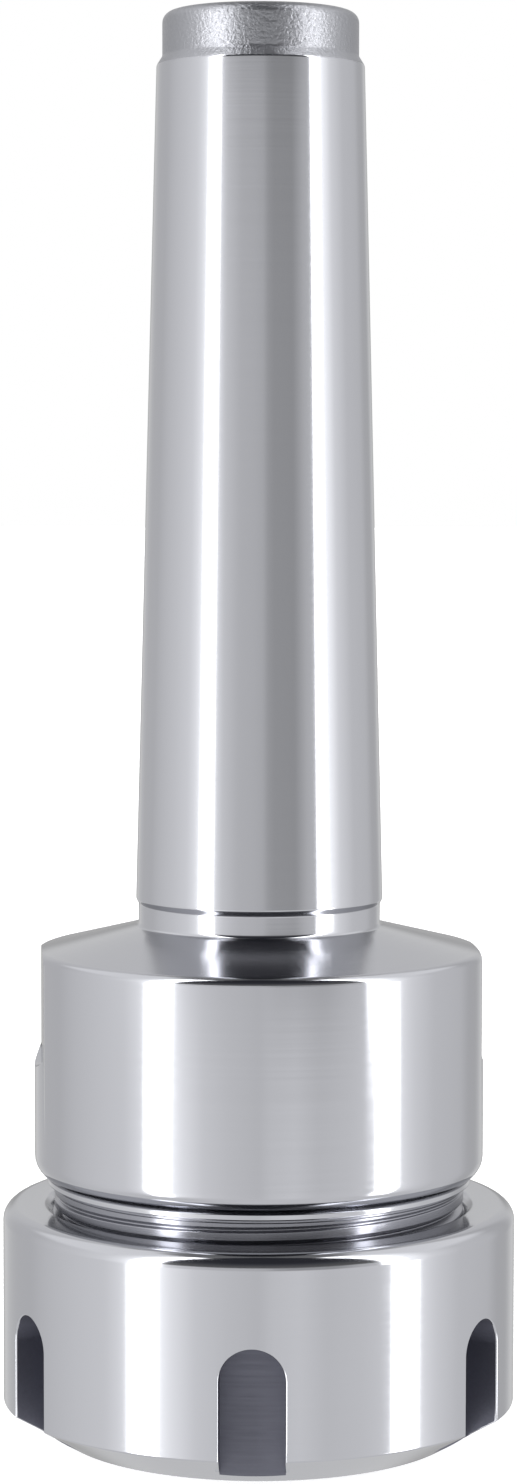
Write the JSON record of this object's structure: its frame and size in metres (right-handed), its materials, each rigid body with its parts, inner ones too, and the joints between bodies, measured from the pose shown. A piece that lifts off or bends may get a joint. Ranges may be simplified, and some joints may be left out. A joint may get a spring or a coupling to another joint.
{
  "type": "collet chuck holder",
  "caption": "Turned steel collet chuck holder: long self-holding taper shank, round head with spanner flats, slotted clamping nut and slit spring collet.",
  "frame": {"origin": "centre of the flat front face of the nut, which the chuck stands on", "axes": "+Z along the common axis, from the nut towards the tail end of the shank; -Y is the side that the camera sees"},
  "size_m": [0.05, 0.05, 0.1375],
  "materials": {
    "ground_steel": "hardened and ground bright, fine marks running round the axis",
    "nut_steel": "turned and polished bright",
    "spring_steel": "hardened and ground spring steel"
  },
  "bodies": {
    "chuck_body": {"chuck_body": "ground_steel"},
    "collet": {"collet": "spring_steel"},
    "clamping_nut": {"clamping_nut": "nut_steel"}
  },
  "joints": [
    {"name": "collet_slide", "type": "slide", "parent": "chuck_body", "child": "collet", "axis": [0, 0, -1], "range_m": [0, 0.01351]},
    {"name": "nut_turn", "type": "hinge", "parent": "collet", "child": "clamping_nut", "pos_m": [0, 0, 0], "axis": [0, 0, -1], "range_deg": [0, 3240]}
  ],
  "couplings": [
    {"joint": "collet_slide", "follows": "nut_turn", "m_per_rad": 0.00023873}
  ]
}
